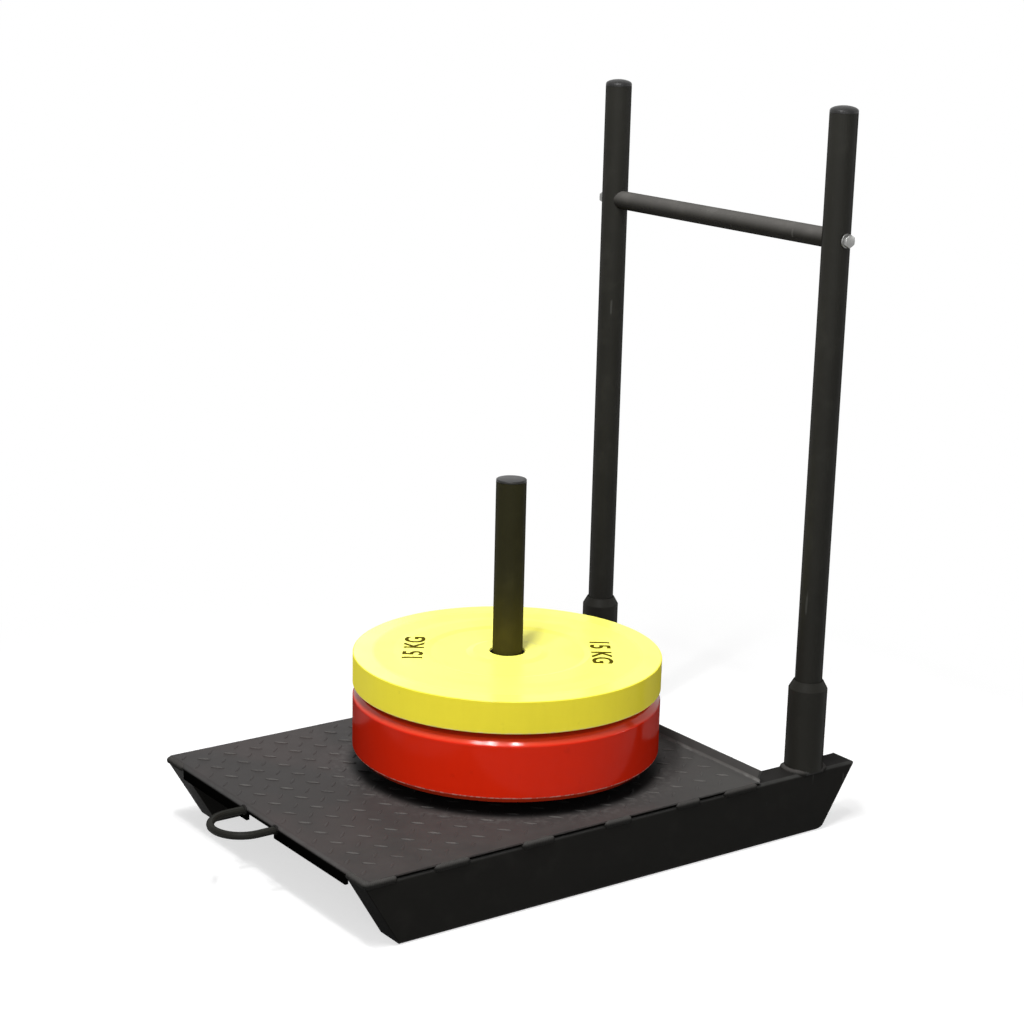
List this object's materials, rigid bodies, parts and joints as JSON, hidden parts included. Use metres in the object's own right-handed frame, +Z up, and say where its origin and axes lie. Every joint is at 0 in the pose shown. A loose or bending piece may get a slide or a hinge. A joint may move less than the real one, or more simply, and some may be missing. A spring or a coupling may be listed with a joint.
{
  "type": "weight sled",
  "caption": "Push and pull weight sled: box-section runners under a bent tread-plate deck, a weight post with rubber plates, a tow ring and a lift-out push frame.",
  "frame": {"origin": "on the floor, under the middle of the overall length and width", "axes": "+Z up; -Y is the front with the tow ring and the direction of a push; +X is the left side of a user who pushes from the back"},
  "size_m": [0.556, 0.937, 1.0578],
  "materials": {
    "deck_coat": "satin black powder coat, worn",
    "runner_coat": "satin black powder coat",
    "tube_coat": "fine-textured satin black powder coat",
    "cap_plastic": "satin",
    "zinc": "bright zinc plate",
    "hub_steel": "dark machined steel",
    "red_rubber": "satin",
    "yellow_rubber": "satin"
  },
  "bodies": {
    "sled": {"left_runner": "runner_coat", "right_runner": "runner_coat", "left_runner_front_plate": "runner_coat", "right_runner_front_plate": "runner_coat", "left_runner_rear_plate": "runner_coat", "right_runner_rear_plate": "runner_coat", "deck_plate": "deck_coat", "tow_ring": "runner_coat", "left_socket": "tube_coat", "right_socket": "tube_coat", "weight_post_flange": "tube_coat", "weight_post": "tube_coat", "weight_post_cap": "cap_plastic"},
    "push_frame": {"left_upright": "tube_coat", "right_upright": "tube_coat", "left_upright_cap": "cap_plastic", "right_upright_cap": "cap_plastic", "crossbar": "tube_coat", "crossbar_left_insert": "zinc", "crossbar_right_insert": "zinc", "left_washer": "zinc", "right_washer": "zinc", "left_bolt": "zinc", "right_bolt": "zinc"},
    "lower_weight_plate": {"lower_plate": "red_rubber", "lower_plate_hub": "hub_steel"},
    "upper_weight_plate": {"upper_plate": "yellow_rubber", "upper_plate_hub": "hub_steel"}
  },
  "joints": [
    {"name": "push_frame_lift", "type": "slide", "parent": "sled", "child": "push_frame", "axis": [0, 0, 1], "range_m": [0, 0.16]},
    {"name": "lower_plate_lift", "type": "slide", "parent": "sled", "child": "lower_weight_plate", "axis": [0, 0, 1], "range_m": [0, 0.43]},
    {"name": "upper_plate_lift", "type": "slide", "parent": "lower_weight_plate", "child": "upper_weight_plate", "axis": [0, 0, 1], "range_m": [0, 0.32]}
  ]
}
